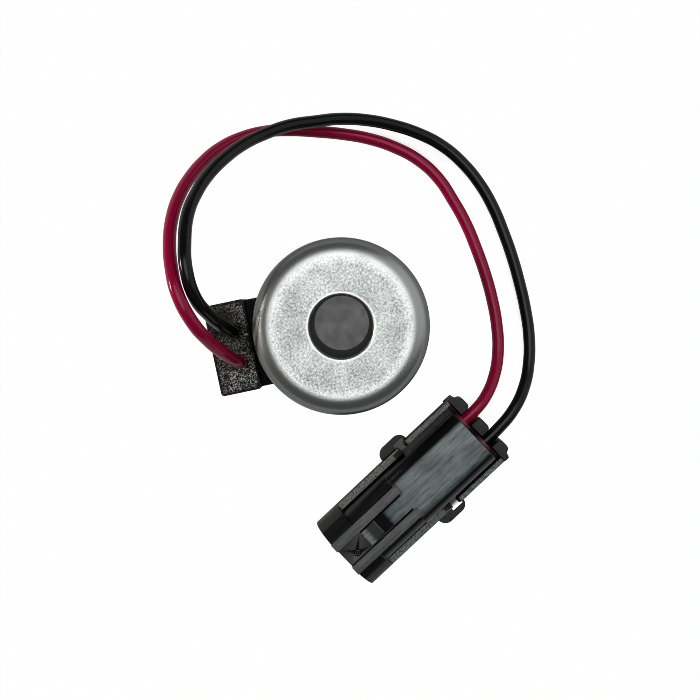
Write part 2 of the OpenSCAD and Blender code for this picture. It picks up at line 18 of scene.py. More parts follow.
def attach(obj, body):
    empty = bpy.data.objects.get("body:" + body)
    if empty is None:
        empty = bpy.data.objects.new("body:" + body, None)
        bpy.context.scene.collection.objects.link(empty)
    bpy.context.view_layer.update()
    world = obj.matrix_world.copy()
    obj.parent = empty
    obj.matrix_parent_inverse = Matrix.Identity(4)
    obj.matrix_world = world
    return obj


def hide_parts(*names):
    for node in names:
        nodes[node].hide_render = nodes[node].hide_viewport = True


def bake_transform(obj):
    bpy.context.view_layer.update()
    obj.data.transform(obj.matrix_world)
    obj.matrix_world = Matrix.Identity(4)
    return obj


MM = 0.001
PIXEL_BLUR = 0.8

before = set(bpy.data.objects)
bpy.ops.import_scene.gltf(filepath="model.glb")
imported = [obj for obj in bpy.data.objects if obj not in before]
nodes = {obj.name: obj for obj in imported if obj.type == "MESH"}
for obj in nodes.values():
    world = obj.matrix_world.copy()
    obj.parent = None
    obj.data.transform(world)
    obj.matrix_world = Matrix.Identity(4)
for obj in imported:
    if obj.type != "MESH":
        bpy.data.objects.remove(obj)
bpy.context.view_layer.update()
scene = bpy.context.scene
scene.view_settings.view_transform = "Standard"
scene.cycles.filter_width = PIXEL_BLUR

# %% [markdown]
# ## Camera
#
# The photograph looks almost straight down. Three things in it fix the camera: the size of
# the can's flat end, the size of the far end of the bore seen through it, and how far that
# far end slides off the centre. Together they give the lens's height and the point on the
# table right below it. The picture is turned, because the connector lies along X in the frame
# and slants in the photograph.

# %% Set the camera
PICTURE_PX = 700
FOCAL_PX = 1148
NADIR_PX = (346, 300)
CAMERA_PLACE = Vector((4.44, 3.24, 270)) * MM
PICTURE_TURN = math.radians(43.4)
SENSOR_MM = 36

camera_data = bpy.data.cameras.new("photo_camera")
camera_data.sensor_width = SENSOR_MM
camera_data.lens = FOCAL_PX / PICTURE_PX * SENSOR_MM
camera = bpy.data.objects.new("photo_camera", camera_data)
scene.collection.objects.link(camera)
scene.camera = camera

middle = PICTURE_PX / 2
straight_down = Vector((NADIR_PX[0] - middle, middle - NADIR_PX[1], -FOCAL_PX))
tilt = straight_down.rotation_difference(Vector((0, 0, -1))).to_matrix()
turn = Matrix.Rotation(-PICTURE_TURN, 3, "Z")
camera.matrix_world = Matrix.Translation(CAMERA_PLACE) @ (turn @ tilt).to_4x4()
print("camera lens", round(camera_data.lens, 1), "mm at", [round(v, 4) for v in CAMERA_PLACE])

# %% [markdown]
# ## Colours, nodes and pieces
#
# Colours are picked on a screen, so they are written as sRGB hex values. Shaders add
# and multiply light, so they want linear values, and one function converts. A second small
# function adds a node to a tree, sets its properties and joins its inputs, which keeps each
# material readable as a list of steps. The others start a material, turn a real size into a
# texture's scale, and turn a finished bmesh into an object.

# %% Helpers for every material and piece
# The sRGB curve: a straight toe for the darkest values, then a power
FULL_CHANNEL = 255
TOE_END = 0.04045
TOE_SLOPE = 12.92
CURVE_OFFSET = 0.055
CURVE_POWER = 2.4
# Sockets of the Mix node when it mixes colours
MIX_FACTOR = 0
MIX_A = 6
MIX_B = 7
MIX_RESULT = 2


def linear(hex_colour):
    """Turn an sRGB hex colour into the linear RGBA that shaders use."""
    channels = []
    for start in (0, 2, 4):
        value = int(hex_colour[start:start + 2], 16) / FULL_CHANNEL
        if value <= TOE_END:
            channels.append(value / TOE_SLOPE)
        else:
            channels.append(((value + CURVE_OFFSET) / (1 + CURVE_OFFSET)) ** CURVE_POWER)
    return (*channels, 1.0)


def add_node(tree, kind, inputs=None, **settings):
    """Add a node, set its properties, and fill its inputs with values or links."""
    node = tree.nodes.new(kind)
    for name, value in settings.items():
        setattr(node, name, value)
    for name, value in (inputs or {}).items():
        if isinstance(value, bpy.types.NodeSocket):
            tree.links.new(value, node.inputs[name])
        else:
            node.inputs[name].default_value = value
    return node


def start_material(name):
    """Make an empty node material and return it with its tree and its Object coordinates."""
    material = bpy.data.materials.new(name)
    material.use_nodes = True
    tree = material.node_tree
    tree.nodes.clear()
    place = add_node(tree, "ShaderNodeTexCoord").outputs["Object"]
    return material, tree, place


def per_metre(size_mm):
    """Texture scale whose features are about size_mm wide."""
    return 1 / (size_mm * MM)


def add_piece(name, shape):
    """Turn a finished bmesh into an object in the scene."""
    mesh = bpy.data.meshes.new(name)
    shape.to_mesh(mesh)
    shape.free()
    piece = bpy.data.objects.new(name, mesh)
    scene.collection.objects.link(piece)
    return piece


print("mid grey", [round(v, 3) for v in linear("808080")[:3]])

# %% [markdown]
# ## Table and light
#
# The photograph has a plain white ground, so the floor is white. Lighting it up to white
# would wash out the black mouldings, so most of its white is a glow that only the camera, the
# metal and glass see. Ambient occlusion takes the glow away close to the coil, over a short
# reach where the camera sees the floor and over a longer one where the metal mirrors it. What
# is left there is the floor's own grey paint with the real shadow. Three places have painted
# light or shade of their own: the floor seen through the bore keeps a faint, cloudy glow, a
# painted light in place of the little light that reaches down the bore, and the patch under the
# connector and the opening of the left hinge strap keep none, which paints shade on them.
#
# The light is a bright patch overhead, as under a ceiling panel that leans towards the
# picture's top, in a dim room: that is why the can's flat end looks bright and its rounded
# edge dark. A warm lamp low at the left gives the glint on the edge, and a grey card at the
# right its smooth panel of reflection.

# %% Build the floor
FLOOR_HALF = 3.0
GLOW_STRENGTH = 1.0
# How far shade reaches, the open share of air where glow starts and where it is full, and its most
SEEN_GLOW = (8 * MM, 0.15, 0.42, 0.99)
# What the metal mirrors glows at most 0.4 as much as the floor the camera sees: painted shade on
# its reflection
MIRRORED_GLOW = (40 * MM, 0.38, 0.72, 0.4)
SHADE_SAMPLES = 8
# Floor inside the can's radius shows only through the bore, and changes over this width
CAN_R = 18.25
SHADE_EDGE = 1.0
# Painted light on the floor seen through the bore, in clouds: their size, the part of the noise
# they use, and their least and most glow
CLOUD_MM = 3.0
CLOUD_RANGE = (0.3, 0.7)
BORE_PAINTED_LIGHT = (0.06, 0.125)
# Middle and half size of the patch of painted shade on the floor under the connector, and the
# share of the half size where the painted shade starts to end
PAINTED_SHADE_MIDDLE = Vector((-14.7, -40.2, 0)) * MM
PAINTED_SHADE_HALF = Vector((22.5, 9.9, 1)) * MM
PAINTED_SHADE_FADE = 0.88
# Middle of the painted shade on the floor in the left hinge strap's opening, its radius, and where
# it ends
STRAP_PAINTED_SHADE = Vector((-9.85, -30.6, 0)) * MM
STRAP_PAINTED_SHADE_R = (1.9, 2.1)

floor_shape = bmesh.new()
bmesh.ops.create_grid(floor_shape, x_segments=1, y_segments=1, size=FLOOR_HALF)
floor = add_piece("floor", floor_shape)

floor_paint, tree, place = start_material("white_table")
from_axis = add_node(tree, "ShaderNodeVectorMath", {0: place}, operation="LENGTH")
beside_can = add_node(tree, "ShaderNodeMapRange", {
    "Value": from_axis.outputs["Value"],
    "From Min": (CAN_R - SHADE_EDGE) * MM,
    "From Max": CAN_R * MM,
})
paint = add_node(tree, "ShaderNodeBsdfPrincipled", {
    "Base Color": linear("8c8c8c"),
    "Roughness": 0.8,
    "Specular IOR Level": 0.1,
})
glow = add_node(tree, "ShaderNodeEmission", {"Color": linear("ffffff"), "Strength": GLOW_STRENGTH})
ray = add_node(tree, "ShaderNodeLightPath")
seen = add_node(tree, "ShaderNodeMath", {
    0: ray.outputs["Is Camera Ray"],
    1: ray.outputs["Is Glossy Ray"],
}, operation="MAXIMUM")
seen_through = add_node(tree, "ShaderNodeMath", {
    0: seen.outputs[0],
    1: ray.outputs["Is Transmission Ray"],
}, operation="MAXIMUM")
glow_at = []
for reach, starts, full, most in (SEEN_GLOW, MIRRORED_GLOW):
    open_air = add_node(tree, "ShaderNodeAmbientOcclusion", {
        "Distance": reach,
    }, samples=SHADE_SAMPLES)
    glow_at.append(add_node(tree, "ShaderNodeMapRange", {
        "Value": open_air.outputs["AO"],
        "From Min": starts,
        "From Max": full,
        "To Max": most,
    }, interpolation_type="SMOOTHSTEP"))
open_glow = add_node(tree, "ShaderNodeMix", {
    "Factor": ray.outputs["Is Glossy Ray"],
    "A": glow_at[0].outputs["Result"],
    "B": glow_at[1].outputs["Result"],
})
cloud = add_node(tree, "ShaderNodeTexNoise", {
    "Vector": place,
    "Scale": per_metre(CLOUD_MM),
    "Detail": 5.0,
})
# Painted light: a faint cloudy glow in place of the white glow, on the floor seen through the bore
bore_painted_light = add_node(tree, "ShaderNodeMapRange", {
    "Value": cloud.outputs["Fac"],
    "From Min": CLOUD_RANGE[0],
    "From Max": CLOUD_RANGE[1],
    "To Min": BORE_PAINTED_LIGHT[0],
    "To Max": BORE_PAINTED_LIGHT[1],
})
glow_left = add_node(tree, "ShaderNodeMix", {
    "Factor": beside_can.outputs["Result"],
    "A": bore_painted_light.outputs["Result"],
    "B": open_glow.outputs[0],
})
from_middle = add_node(tree, "ShaderNodeVectorMath", {
    0: place,
    1: PAINTED_SHADE_MIDDLE,
}, operation="SUBTRACT")
in_halves = add_node(tree, "ShaderNodeVectorMath", {
    0: from_middle.outputs["Vector"],
    1: PAINTED_SHADE_HALF,
}, operation="DIVIDE")
both_sides = add_node(tree, "ShaderNodeVectorMath", {
    0: in_halves.outputs["Vector"],
}, operation="ABSOLUTE")
sides = add_node(tree, "ShaderNodeSeparateXYZ", {0: both_sides.outputs["Vector"]})
outermost = add_node(tree, "ShaderNodeMath", {
    0: sides.outputs["X"],
    1: sides.outputs["Y"],
}, operation="MAXIMUM")
# Painted shade: no glow on the floor in the left hinge strap's opening
from_strap = add_node(tree, "ShaderNodeVectorMath", {
    0: place,
    1: STRAP_PAINTED_SHADE,
}, operation="DISTANCE")
outside_strap_painted_shade = add_node(tree, "ShaderNodeMapRange", {
    "Value": from_strap.outputs["Value"],
    "From Min": STRAP_PAINTED_SHADE_R[0] * MM,
    "From Max": STRAP_PAINTED_SHADE_R[1] * MM,
}, interpolation_type="SMOOTHSTEP")
# Painted shade: no glow on the patch of floor under the connector, fading out at its edge
outside_painted_shade = add_node(tree, "ShaderNodeMapRange", {
    "Value": outermost.outputs[0],
    "From Min": PAINTED_SHADE_FADE,
    "From Max": 1.0,
    "To Max": outside_strap_painted_shade.outputs["Result"],
}, interpolation_type="SMOOTHSTEP")
lit_glow = add_node(tree, "ShaderNodeMath", {
    0: outside_painted_shade.outputs["Result"],
    1: glow_left.outputs[0],
}, operation="MULTIPLY")
share = add_node(tree, "ShaderNodeMath", {
    0: seen_through.outputs[0],
    1: lit_glow.outputs[0],
}, operation="MULTIPLY")
blended = add_node(tree, "ShaderNodeMixShader", {
    0: share.outputs[0],
    1: paint.outputs[0],
    2: glow.outputs[0],
})
add_node(tree, "ShaderNodeOutputMaterial", {"Surface": blended.outputs[0]})
floor.data.materials.append(floor_paint)
print("floor", 2 * FLOOR_HALF, "m wide")

# %% Light the room
ROOM_LIGHT = 0.09
PANEL_LIGHT = 1.95
# Cosine of the angle from the panel's middle to its edge, and to where it is full
PANEL_EDGE = 0.875
PANEL_CORE = 0.955
PANEL_TILT = math.radians(11)

sky = bpy.data.worlds.new("room")
sky.use_nodes = True
scene.world = sky
tree = sky.node_tree
tree.nodes.clear()
towards = add_node(tree, "ShaderNodeTexCoord").outputs["Generated"]
picture_right = turn @ Vector((1, 0, 0))
picture_up = turn @ Vector((0, 1, 0))
panel_axis = picture_up * math.sin(PANEL_TILT) + Vector((0, 0, math.cos(PANEL_TILT)))
facing = add_node(tree, "ShaderNodeVectorMath", {
    0: towards,
    1: panel_axis,
}, operation="DOT_PRODUCT")
strength = add_node(tree, "ShaderNodeMapRange", {
    "Value": facing.outputs["Value"],
    "From Min": PANEL_EDGE,
    "From Max": PANEL_CORE,
    "To Min": ROOM_LIGHT,
    "To Max": PANEL_LIGHT,
}, interpolation_type="SMOOTHSTEP")
room = add_node(tree, "ShaderNodeBackground", {
    "Color": linear("ffffff"),
    "Strength": strength.outputs["Result"],
})
add_node(tree, "ShaderNodeOutputWorld", {"Surface": room.outputs[0]})


def add_lamp(name, right, up, height, side, watts, colour):
    """Square area lamp, placed in metres in the picture's own directions, aimed at the can."""
    data = bpy.data.lights.new(name, "AREA")
    data.shape = "SQUARE"
    data.size = side
    data.energy = watts
    data.color = linear(colour)[:3]
    lamp = bpy.data.objects.new(name, data)
    scene.collection.objects.link(lamp)
    lamp.location = picture_right * right + picture_up * up + Vector((0, 0, height))
    lamp.rotation_euler = lamp.location.to_track_quat("Z", "Y").to_euler()
    return lamp


add_lamp("warm_lamp", right=-0.55, up=0.06, height=0.16, side=0.12, watts=1.4, colour="fff6ec")
add_lamp("grey_card", right=0.50, up=0.20, height=0.30, side=0.80, watts=1.0, colour="ffffff")
print("lamps", [lamp.name for lamp in bpy.data.lights])

# %% [markdown]
# ## Leads
#
# Each lead is stranded wire in extruded insulation, 2.75 mm thick. It leaves the block
# upwards, arches over while it is still stiff enough to carry itself, comes down to
# the table and runs along it to the rear of the connector. A curve with a round bevel is the
# natural tool: the points are the same ones that the solids follow, and automatic handles
# draw one smooth line through them.

# %% Lay the two leads
LEAD_D = 2.75
# Steps of the round bevel, and steps along the lead from point to point
ROUND_STEPS = 6
CURVE_STEPS = 8
BLACK_ROUTE = [
    (-17.89, 14.83, 15), (-17.89, 14.83, 20), (-17.89, 14.83, 24),
    (-18.1, 16.8, 29.5), (-18, 20, 35), (-17.2, 24.5, 39.5), (-14.5, 29.5, 41),
    (-11, 34, 39), (-7, 38, 35.5), (-3, 40.5, 31.5), (1.5, 42.2, 27.5),
    (6.5, 43, 23.5), (11.5, 43, 19.5), (16.5, 42, 16), (22, 40, 13),
    (27, 37, 10.5), (31.5, 34, 8.2), (36, 29.8, 6.2), (39.8, 25, 4.5),
    (43, 19.6, 3.2), (45.2, 13.8, 2.2), (46, 7.6, 1.6), (45.6, 1.4, 1.4),
    (44.2, -4.6, 1.4), (42, -10.5, 1.4), (39.5, -16.2, 1.4), (36.6, -21.8, 1.4),
    (33.4, -27.2, 1.5), (29.8, -32.2, 1.9), (25.4, -36.6, 3), (20.4, -39.8, 5),
    (15, -41.6, 6.8), (9.3, -42.2, 7.6), (4.4, -42.2, 7.6), (-3.7, -42.2, 7.6),
]
RED_ROUTE = [
    (-21.33, 9.20, 15), (-21.33, 9.20, 20), (-21.33, 9.20, 24),
    (-21.6, 12.4, 31), (-21.6, 16.3, 36), (-21, 21, 40), (-19.2, 27, 41),
    (-16.6, 32, 39), (-13.5, 36.5, 35.7), (-10, 40.2, 32), (-6.2, 43, 28),
    (-2, 45, 23.8), (2.5, 46.2, 19.6), (7.2, 46.5, 15.7), (12.2, 45.6, 12),
    (17.2, 43.4, 9), (21.8, 40, 6.5), (26, 36, 4.6), (30.2, 31.5, 3.2),
    (34, 26.6, 2.3), (37, 21.2, 1.7), (39, 15.3, 1.5), (39.5, 9.1, 1.4),
    (38.5, 3, 1.4), (37, -3, 1.4), (34.8, -8.9, 1.4), (32.3, -14.6, 1.4),
    (29.4, -20.1, 1.4), (26, -25.3, 1.6), (22, -29.8, 2.6), (17.2, -33.2, 4.6),
    (12.4, -35, 6.6), (9.3, -35.4, 7.6), (4.4, -35.4, 7.6), (-3.7, -35.4, 7.6),
]


def lay_lead(name, route):
    """Round curve of the lead's thickness through the route's points, given in millimetres."""
    data = bpy.data.curves.new(name, "CURVE")
    data.dimensions = "3D"
    data.bevel_depth = LEAD_D / 2 * MM
    data.bevel_resolution = ROUND_STEPS
    data.resolution_u = CURVE_STEPS
    data.use_fill_caps = True
    spline = data.splines.new("BEZIER")
    spline.bezier_points.add(len(route) - 1)
    for point, place in zip(spline.bezier_points, route):
        point.co = Vector(place) * MM
        point.handle_left_type = "AUTO"
        point.handle_right_type = "AUTO"
    lead = bpy.data.objects.new(name, data)
    scene.collection.objects.link(lead)
    print(name, "mm between its ends", round(spline.calc_length() / MM, 1))
    return lead, spline.calc_length()


black_lead, black_length = lay_lead("black_lead_skin", BLACK_ROUTE)
red_lead, red_length = lay_lead("red_lead_skin", RED_ROUTE)

# %% [markdown]
# ## Lead insulation
#
# The insulation is extruded polyethylene: smooth, with a soft gloss, a little uneven where
# the strands show through, and slightly chalky from handling. A fine noise varies the colour
# and the gloss, and a long soft one gives the surface its shallow waves.

# %% Extruded insulation in two colours
HANDLING_MM = 1.6
WAVE_MM = 3.5
WAVE_DEPTH = 0.25
LEAD_GLOSS = (0.14, 0.22)


def extruded_insulation(name, colour, wear_and_sheen_colour):
    """Smooth extruded plastic with faint handling marks and shallow waves."""
    material, tree, place = start_material(name)
    marks = add_node(tree, "ShaderNodeTexNoise", {
        "Vector": place,
        "Scale": per_metre(HANDLING_MM),
        "Detail": 5.0,
        "Roughness": 0.65,
    })
    wear_and_sheen = add_node(tree, "ShaderNodeMapRange", {
        "Value": marks.outputs["Fac"],
        "From Min": 0.45,
        "From Max": 0.75,
    })
    tint = add_node(tree, "ShaderNodeMix", {
        MIX_FACTOR: wear_and_sheen.outputs["Result"],
        MIX_A: linear(colour),
        MIX_B: linear(wear_and_sheen_colour),
    }, data_type="RGBA")
    rough = add_node(tree, "ShaderNodeMapRange", {
        "Value": marks.outputs["Fac"],
        "To Min": LEAD_GLOSS[0],
        "To Max": LEAD_GLOSS[1],
    })
    waves = add_node(tree, "ShaderNodeTexNoise", {
        "Vector": place,
        "Scale": per_metre(WAVE_MM),
        "Detail": 2.0,
    })
    relief = add_node(tree, "ShaderNodeBump", {
        "Height": waves.outputs["Fac"],
        "Strength": 0.12,
        "Distance": WAVE_DEPTH * MM,
    })
    skin = add_node(tree, "ShaderNodeBsdfPrincipled", {
        "Base Color": tint.outputs[MIX_RESULT],
        "Roughness": rough.outputs["Result"],
        "IOR": 1.38,
        "Normal": relief.outputs["Normal"],
    })
    add_node(tree, "ShaderNodeOutputMaterial", {"Surface": skin.outputs[0]})
    return material


red_insulation = extruded_insulation("extruded_red_insulation", "9e0038", "a80344")
black_insulation = extruded_insulation("extruded_black_insulation", "070909", "121515")
red_lead.data.materials.append(red_insulation)
black_lead.data.materials.append(black_insulation)
print("insulation on", red_lead.name, black_lead.name)

# %% [markdown]
# ## Steel can and washer
#
# The can is drawn from sheet steel and zinc plated. Its flat end keeps the sheet's fine
# mottled grain, with a ragged, brighter ring where the press held it and a bright rim round
# the hole. The grain reaches the start of the drawn edge and fades out on it, so the edge
# is smooth. The edge's colour is darker, a painted shade that dims what it mirrors, darkest low
# on the edge. One material covers all of it: the distance from the axis, made ragged
# by the grain, tells the flat end from the edge, and noise at two sizes makes the grain and
# the larger patches.

# %% Zinc plate, mottled on the flat end and smooth on the drawn edge
# Radii where the flat end stops, the drawn edge starts, the grain is gone and the bright ring
# starts, and how far the grain moves them
FLAT_END_R = 14.2
EDGE_R = 15.6
SMOOTH_R = 17.4
BRIGHT_RING_R = 12.4
RAGGED = 2.4
RING_LIFT = 0.095
# Radii between which the hole's bright rim ends
RIM_R = 6.9
RIM_END_R = 7.3
# Heights between which the painted shade low on the drawn edge gives way to its paler top
EDGE_LOW = 36.3
EDGE_HIGH = 37.4
PLATE_GRAIN_MM = 0.5
PLATE_GRAIN_DEPTH = 0.06
PATCH_MM = 4.0
PATCH_SHARE = 0.25
MOTTLE_RANGE = (0.50, 0.78)
# Roughness and bump of the flat end, and of the drawn edge
PLATE_GLOSS = (0.42, 0.32)
PLATE_BITE = (0.6, 0.06)

zinc_plate, tree, place = start_material("zinc_plated_steel")
flat_place = add_node(tree, "ShaderNodeVectorMath", {
    0: place,
    1: (1, 1, 0),
}, operation="MULTIPLY")
radius = add_node(tree, "ShaderNodeVectorMath", {
    0: flat_place.outputs["Vector"],
}, operation="LENGTH")
grain = add_node(tree, "ShaderNodeTexNoise", {
    "Vector": place,
    "Scale": per_metre(PLATE_GRAIN_MM),
    "Detail": 6.0,
    "Roughness": 0.8,
})
ragged_radius = add_node(tree, "ShaderNodeMath", {
    0: grain.outputs["Fac"],
    1: RAGGED * MM,
    2: radius.outputs["Value"],
}, operation="MULTIPLY_ADD")
drawn = add_node(tree, "ShaderNodeMapRange", {
    "Value": ragged_radius.outputs[0],
    "From Min": (FLAT_END_R + RAGGED / 2) * MM,
    "From Max": (EDGE_R + RAGGED / 2) * MM,
}, interpolation_type="SMOOTHSTEP")
ring = add_node(tree, "ShaderNodeMapRange", {
    "Value": ragged_radius.outputs[0],
    "From Min": (BRIGHT_RING_R + RAGGED / 2) * MM,
    "From Max": (FLAT_END_R + RAGGED / 2) * MM,
    "To Max": RING_LIFT,
}, interpolation_type="SMOOTHSTEP")
level = add_node(tree, "ShaderNodeSeparateXYZ", {0: place})
edge_shade_band = add_node(tree, "ShaderNodeMapRange", {
    "Value": level.outputs["Z"],
    "From Min": EDGE_LOW * MM,
    "From Max": EDGE_HIGH * MM,
}, interpolation_type="SMOOTHSTEP")
patches = add_node(tree, "ShaderNodeTexNoise", {
    "Vector": place,
    "Scale": per_metre(PATCH_MM),
    "Detail": 3.0,
})
mottle = add_node(tree, "ShaderNodeMath", {
    0: patches.outputs["Fac"],
    1: PATCH_SHARE,
    2: grain.outputs["Fac"],
}, operation="MULTIPLY_ADD")
ringed = add_node(tree, "ShaderNodeMath", {
    0: mottle.outputs[0],
    1: ring.outputs["Result"],
}, operation="ADD")
mottle_range = add_node(tree, "ShaderNodeMapRange", {
    "Value": ringed.outputs[0],
    "From Min": MOTTLE_RANGE[0],
    "From Max": MOTTLE_RANGE[1],
})
mottled = add_node(tree, "ShaderNodeMix", {
    MIX_FACTOR: mottle_range.outputs["Result"],
    MIX_A: linear("888f8d"),
    MIX_B: linear("f8fcfb"),
}, data_type="RGBA")
# Painted shade: the drawn edge's colour, darkest low on the edge, dims what it mirrors
shaded_edge_colour = add_node(tree, "ShaderNodeMix", {
    MIX_FACTOR: edge_shade_band.outputs["Result"],
    MIX_A: linear("7d8180"),
    MIX_B: linear("b4b8b6"),
}, data_type="RGBA")
rim = add_node(tree, "ShaderNodeMapRange", {
    "Value": radius.outputs["Value"],
    "From Min": RIM_R * MM,
    "From Max": RIM_END_R * MM,
    "To Min": 1.0,
    "To Max": 0.0,
})
rimmed = add_node(tree, "ShaderNodeMix", {
    MIX_FACTOR: rim.outputs["Result"],
    MIX_A: mottled.outputs[MIX_RESULT],
    MIX_B: linear("fbfdfc"),
}, data_type="RGBA")
plate_colour = add_node(tree, "ShaderNodeMix", {
    MIX_FACTOR: drawn.outputs["Result"],
    MIX_A: rimmed.outputs[MIX_RESULT],
    MIX_B: shaded_edge_colour.outputs[MIX_RESULT],
}, data_type="RGBA")
gloss = add_node(tree, "ShaderNodeMapRange", {
    "Value": drawn.outputs["Result"],
    "To Min": PLATE_GLOSS[0],
    "To Max": PLATE_GLOSS[1],
})
bite = add_node(tree, "ShaderNodeMapRange", {
    "Value": ragged_radius.outputs[0],
    "From Min": (EDGE_R + RAGGED / 2) * MM,
    "From Max": (SMOOTH_R + RAGGED / 2) * MM,
    "To Min": PLATE_BITE[0],
    "To Max": PLATE_BITE[1],
})
relief = add_node(tree, "ShaderNodeBump", {
    "Height": grain.outputs["Fac"],
    "Strength": bite.outputs["Result"],
    "Distance": PLATE_GRAIN_DEPTH * MM,
})
plate = add_node(tree, "ShaderNodeBsdfPrincipled", {
    "Base Color": plate_colour.outputs[MIX_RESULT],
    "Metallic": 1.0,
    "Roughness": gloss.outputs["Result"],
    "Normal": relief.outputs["Normal"],
})
add_node(tree, "ShaderNodeOutputMaterial", {"Surface": plate.outputs[0]})


def finish_node(name, material):
    """Give a carried-over solid its finish."""
    nodes[name].material_slots[0].material = material


finish_node("can", zinc_plate)
finish_node("base_washer", zinc_plate)
print("plated", "can", "base_washer")

# %% [markdown]
# ## Rounding the mouldings
#
# No moulded edge is razor sharp, and the thin light lines along the connector are its rounded
# edges. The solids already have the right shape, so each moulding is a copy of its solid: the
# loose triangles are welded, flat ones are joined into one face, and every crease gets a small
# bevel. Where creases meet at a slant a bevel can shoot past the corner, so a vertex that
# strays from the solid is put back on it. Faces with more than four corners are then cut into
# triangles, so that no face closes the slots it runs round. Weighted normals keep flat faces
# flat where they meet the bevels.

# %% Copy a solid and round its creases
WELD = 0.002 * MM
FLAT_ANGLE = math.radians(1)
CREASE_ANGLE = math.radians(28)
BEVEL_STEPS = 2
ROUND_PROFILE = 0.5
# Share of the rounding's radius that a vertex may lie off the solid
STRAY = 0.45
QUAD = 4


def rounded_copy(name, radius_mm, body):
    """Copy a solid, weld it, join its flat faces and round its creases."""
    shape = bmesh.new()
    shape.from_mesh(nodes[name].data)
    bmesh.ops.remove_doubles(shape, verts=shape.verts, dist=WELD)
    bmesh.ops.dissolve_limit(shape, angle_limit=FLAT_ANGLE, verts=shape.verts, edges=shape.edges)
    solid = BVHTree.FromBMesh(shape)
    creases = [edge for edge in shape.edges if edge.calc_face_angle(0) > CREASE_ANGLE]
    bmesh.ops.bevel(
        shape,
        geom=creases,
        offset=radius_mm * MM,
        offset_type="OFFSET",
        affect="EDGES",
        segments=BEVEL_STEPS,
        profile=ROUND_PROFILE,
        material=-1,
        clamp_overlap=False,
    )
    for corner in shape.verts:
        on_solid, _, _, away = solid.find_nearest(corner.co)
        if away > STRAY * radius_mm * MM:
            corner.co = on_solid
    many_sided = [face for face in shape.faces if len(face.verts) > QUAD]
    bmesh.ops.triangulate(shape, faces=many_sided)
    piece = add_piece(name + "_skin", shape)
    piece.data.shade_smooth()
    weights = piece.modifiers.new("flat_faces", "WEIGHTED_NORMAL")
    weights.keep_sharp = True
    if body:
        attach(piece, body)
    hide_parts(name)
    print(piece.name, len(creases), "creases rounded,", len(piece.data.polygons), "faces")
    return piece


# %% [markdown]
# ## Moulded block
#
# The encapsulation is cast round the finished winding in glass-filled nylon. Its mould was
# spark eroded, which leaves a coarse grain on a nearly black ground that glitters a little.
# Handling has rubbed the tips of the grain pale, but only on the upper face and in patches.
# The pale tips fade out along a rim at the block's edge, and under the black lead they are held
# back as a painted shadow of the lead. A coarse noise gives the grain its bump and its pale
# tips, and places are measured along and across the block.

# %% Coarse moulded nylon for the lead block
BLOCK_ROUNDING = 0.15
GRIT_MM = 0.36
GRIT_DEPTH = 0.5
TIPS_RANGE = (0.49, 0.63)
# Patches that are rubbed: their size, the part of the noise they use, and how much is rubbed
RUBBED_MM = 5.0
RUBBED_RANGE = (0.38, 0.60)
RUBBED_SHARE = (0.35, 1.0)
# Heights between which the upper face starts
GRIT_FROM = 19.3
GRIT_TO = 19.7
# Direction of the block from the can's axis, and the place and half size of its upper face
BLOCK_ANGLE = math.radians(148.5)
BLOCK_R = 24.3
BLOCK_MIDDLE = Vector((BLOCK_R * math.cos(BLOCK_ANGLE), BLOCK_R * math.sin(BLOCK_ANGLE), 0)) * MM
BLOCK_HALF = Vector((4.5, 10, 0)) * MM
# Distances from the block's edge between which the rubbed face ends
DARK_RIM = (0.75, 0.4)
# Middle of the black lead's painted shadow on the block, the radius where it starts to fade and
# where it ends, and how much of the pale tips is left in it
BLACK_LEAD_SHADOW_MIDDLE = Vector((1.2, -5.5, 20)) * MM
LEAD_SHADOW_R = (2.5, 5.5)
LEAD_SHADOW_TIPS = 0.06

cast_nylon, tree, place = start_material("spark_eroded_cast_nylon")
grit = add_node(tree, "ShaderNodeTexNoise", {
    "Vector": place,
    "Scale": per_metre(GRIT_MM),
    "Detail": 4.0,
    "Roughness": 0.65,
})
tips = add_node(tree, "ShaderNodeMapRange", {
    "Value": grit.outputs["Fac"],
    "From Min": TIPS_RANGE[0],
    "From Max": TIPS_RANGE[1],
})
level = add_node(tree, "ShaderNodeSeparateXYZ", {0: place})
block_place = add_node(tree, "ShaderNodeMapping", {
    "Vector": place,
    "Location": BLOCK_MIDDLE,
    "Rotation": (0, 0, BLOCK_ANGLE),
}, vector_type="TEXTURE")
from_middle = add_node(tree, "ShaderNodeVectorMath", {
    0: block_place.outputs["Vector"],
}, operation="ABSOLUTE")
past_edge = add_node(tree, "ShaderNodeVectorMath", {
    0: from_middle.outputs["Vector"],
    1: BLOCK_HALF,
}, operation="SUBTRACT")
edges = add_node(tree, "ShaderNodeSeparateXYZ", {0: past_edge.outputs["Vector"]})
nearest_edge = add_node(tree, "ShaderNodeMath", {
    0: edges.outputs["X"],
    1: edges.outputs["Y"],
}, operation="MAXIMUM")
inside_rim = add_node(tree, "ShaderNodeMapRange", {
    "Value": nearest_edge.outputs[0],
    "From Min": -DARK_RIM[0] * MM,
    "From Max": -DARK_RIM[1] * MM,
    "To Min": 1.0,
    "To Max": 0.0,
})
